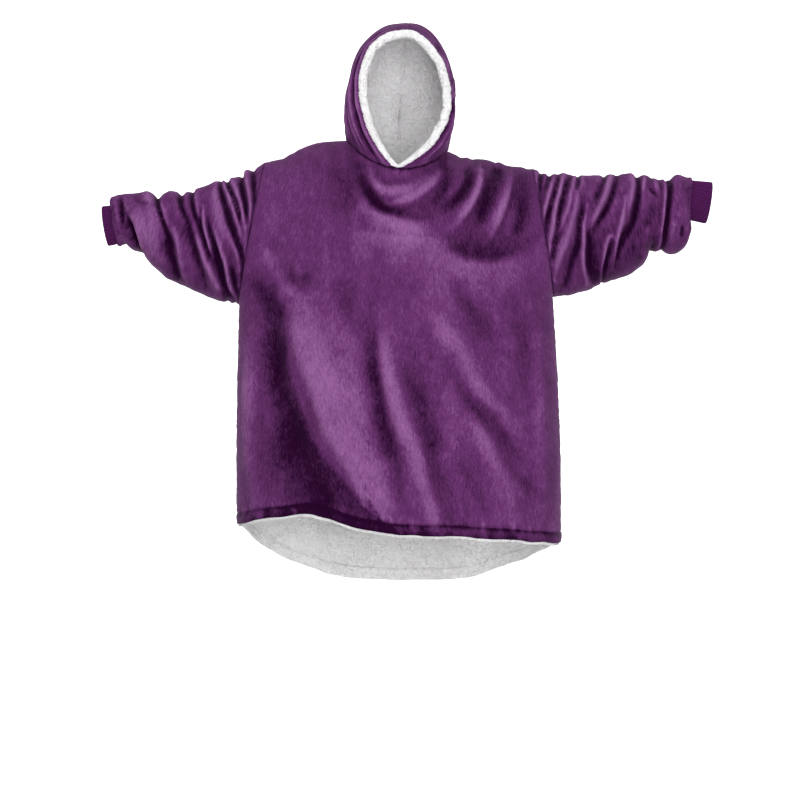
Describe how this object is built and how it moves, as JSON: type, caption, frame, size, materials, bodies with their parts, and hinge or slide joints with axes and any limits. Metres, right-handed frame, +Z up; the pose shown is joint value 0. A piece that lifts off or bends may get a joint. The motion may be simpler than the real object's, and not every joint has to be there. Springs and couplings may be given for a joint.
{
  "type": "wearable blanket hoodie",
  "caption": "Oversized plush hoodie worn with the arms held out: hollow body, full sleeves with rib cuffs, and a raised hood with a sherpa lining and rim.",
  "frame": {"origin": "middle of the neck hole at shoulder height, where the wearer's shoulders carry the garment", "axes": "+X to the picture's right along the arms, front faces -Y, +Z up"},
  "size_m": [1.4294, 0.3814, 1.3279],
  "materials": {
    "plush": "short-pile velvety plush with a soft sheen",
    "rib_knit": "matte rib knit",
    "sherpa": "curly sherpa fleece"
  },
  "bodies": {
    "root": {"body_front": "plush", "body_back": "plush", "lining_front": "sherpa", "lining_back": "sherpa", "sleeve_left": "plush", "sleeve_right": "plush", "cuff_left": "rib_knit", "cuff_right": "rib_knit", "hood_left": "plush", "hood_right": "plush", "hood_lining_left": "sherpa", "hood_lining_right": "sherpa"}
  },
  "joints": []
}
